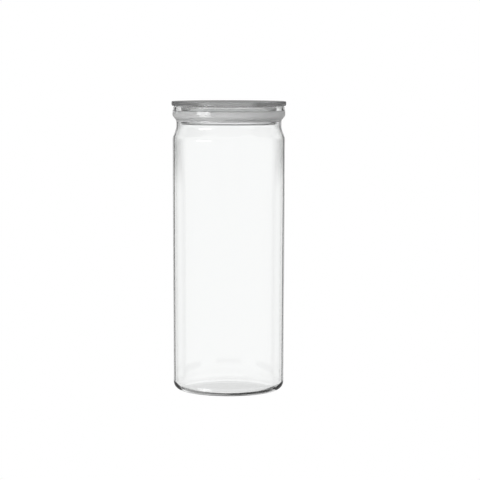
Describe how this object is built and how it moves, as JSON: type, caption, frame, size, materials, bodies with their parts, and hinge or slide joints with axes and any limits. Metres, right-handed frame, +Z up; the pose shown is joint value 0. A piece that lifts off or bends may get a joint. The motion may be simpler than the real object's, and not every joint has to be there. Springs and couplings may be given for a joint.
{
  "type": "lidded glass canister",
  "caption": "Tall clear glass storage jar with a flared mouth, a thick flat glass lid with a hollow plug, and a grey silicone seal ring.",
  "frame": {"origin": "centre of the flat foot that the jar stands on", "axes": "+Z up along the jar's axis, towards the lid; the object is round, so +X and +Y are free"},
  "size_m": [0.1126, 0.1126, 0.2848],
  "materials": {
    "clear_glass": "clear fire-polished borosilicate-type glass, thin walls",
    "lid_glass": "thick moulded glass, reads neutral grey through its width",
    "silicone": "translucent pale grey silicone, satin"
  },
  "bodies": {
    "jar": {"jar": "clear_glass"},
    "lid": {"lid": "lid_glass", "seal_ring": "silicone"}
  },
  "joints": [
    {"name": "lid_lift", "type": "slide", "parent": "jar", "child": "lid", "axis": [0, 0, 1], "range_m": [0, 0.06]}
  ]
}
